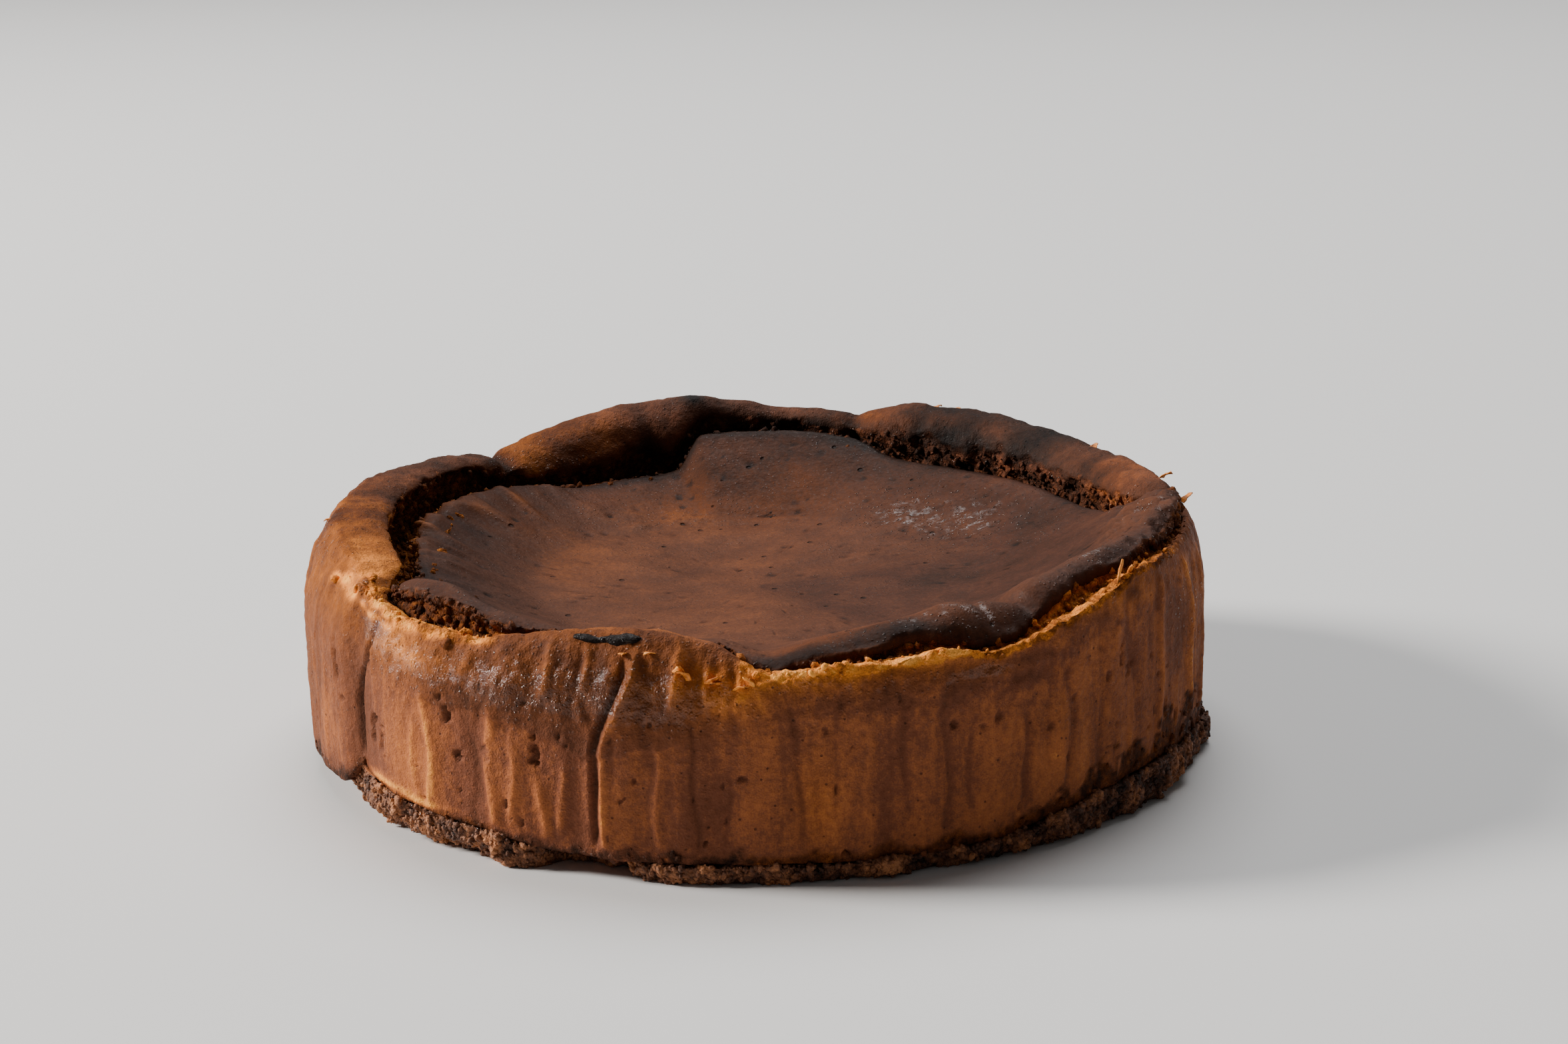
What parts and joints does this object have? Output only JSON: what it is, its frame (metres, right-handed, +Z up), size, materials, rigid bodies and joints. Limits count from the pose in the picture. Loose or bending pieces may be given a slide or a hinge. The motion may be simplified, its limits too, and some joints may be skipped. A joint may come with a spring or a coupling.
{
  "type": "basque cheesecake",
  "caption": "Round baked cheesecake with a sunken browned top, cracked puffed rim, paper-creased wall and a thin dark crumb base.",
  "frame": {"origin": "centre of the underside, on the surface that the cake stands on", "axes": "+Z up; -Y is the front, where the rim has its notch; +X to the right seen from the front"},
  "size_m": [0.2247, 0.2246, 0.0646],
  "materials": {
    "baked_custard": "baked custard skin, matte chocolate brown on top and caramel brown with oily shine on the wall, yellow where torn",
    "chocolate_crumb": "dark crumbly chocolate biscuit, matte"
  },
  "bodies": {
    "root": {"cheesecake": "baked_custard", "crumb_base": "chocolate_crumb"}
  },
  "joints": []
}
